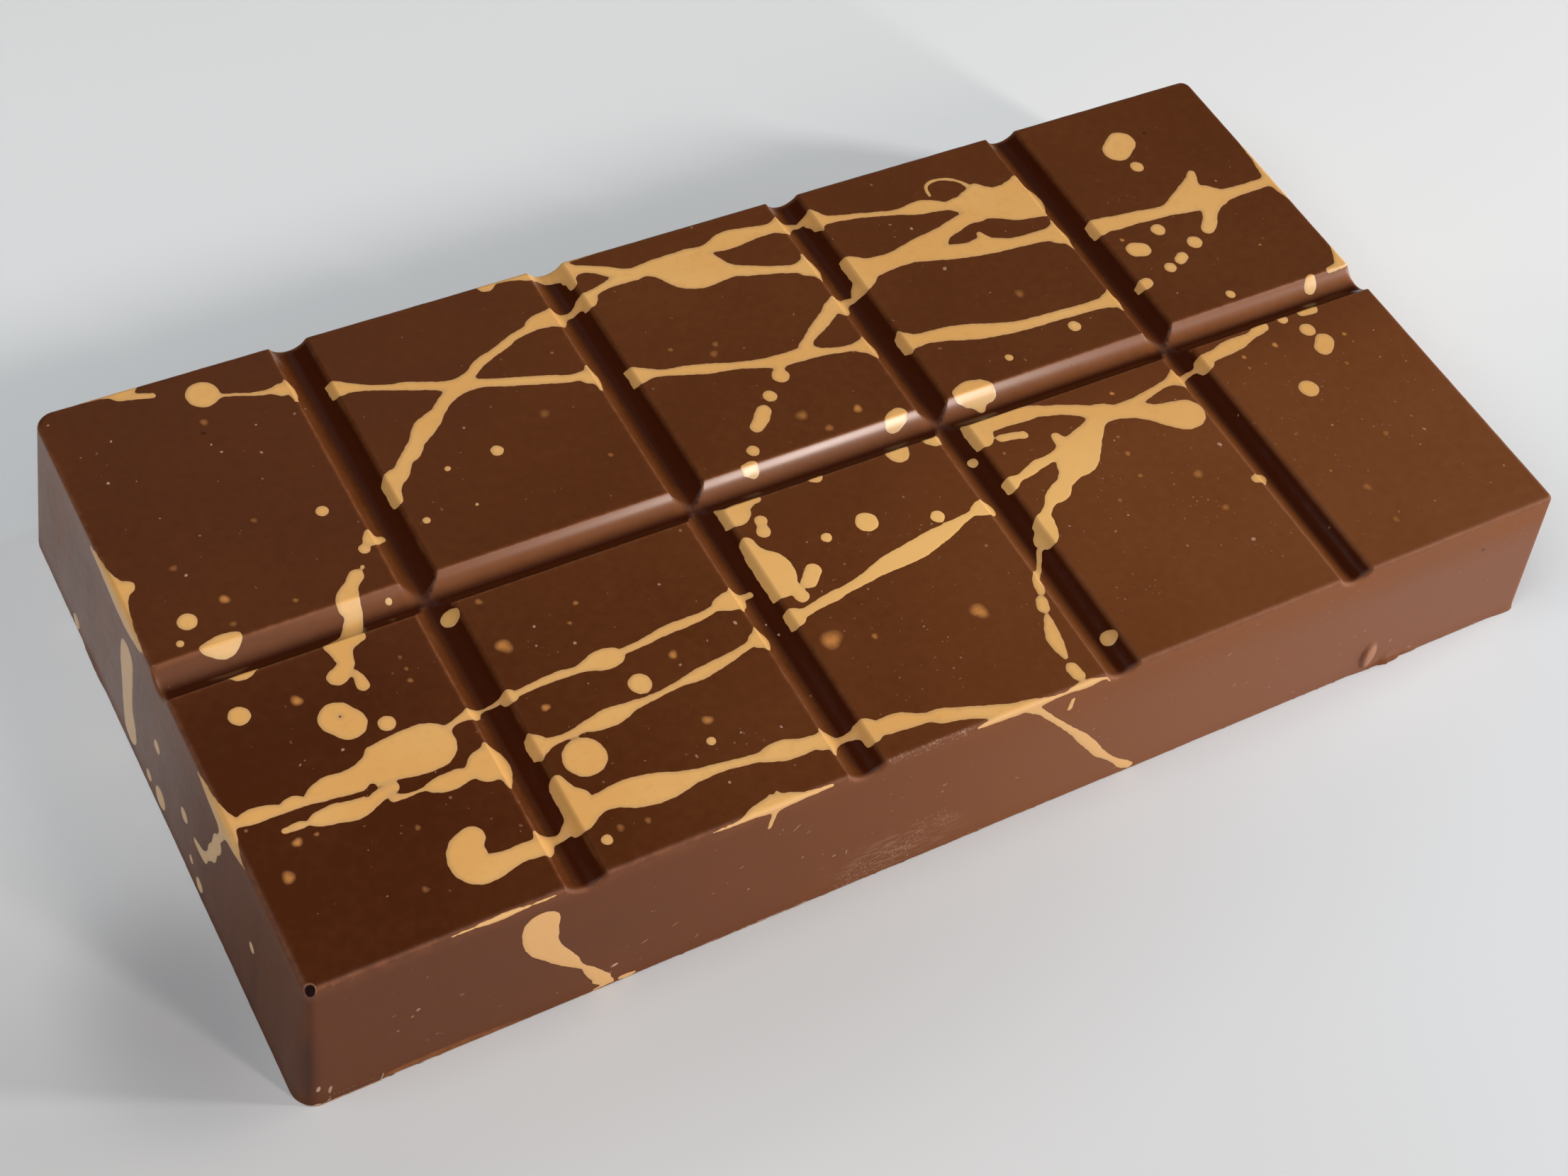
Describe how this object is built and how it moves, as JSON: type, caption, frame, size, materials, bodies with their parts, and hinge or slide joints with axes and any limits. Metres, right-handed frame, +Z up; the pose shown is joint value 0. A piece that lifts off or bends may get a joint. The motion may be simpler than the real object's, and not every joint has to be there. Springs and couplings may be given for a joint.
{
  "type": "chocolate bar",
  "caption": "Thick moulded milk chocolate bar, grooved into rectangular pieces for breaking, decorated with splashes of caramel-coloured cocoa butter.",
  "frame": {"origin": "middle of the flat base", "axes": "+X along the bar to the right, +Y across it away from the front face, +Z up from the base to the grooved top"},
  "size_m": [0.1486, 0.0758, 0.0191],
  "materials": {
    "milk_chocolate": "satin moulded milk chocolate, warm mid brown",
    "cocoa_butter": "satin coloured cocoa butter, pale caramel"
  },
  "bodies": {
    "root": {"bar": "milk_chocolate"}
  },
  "joints": []
}
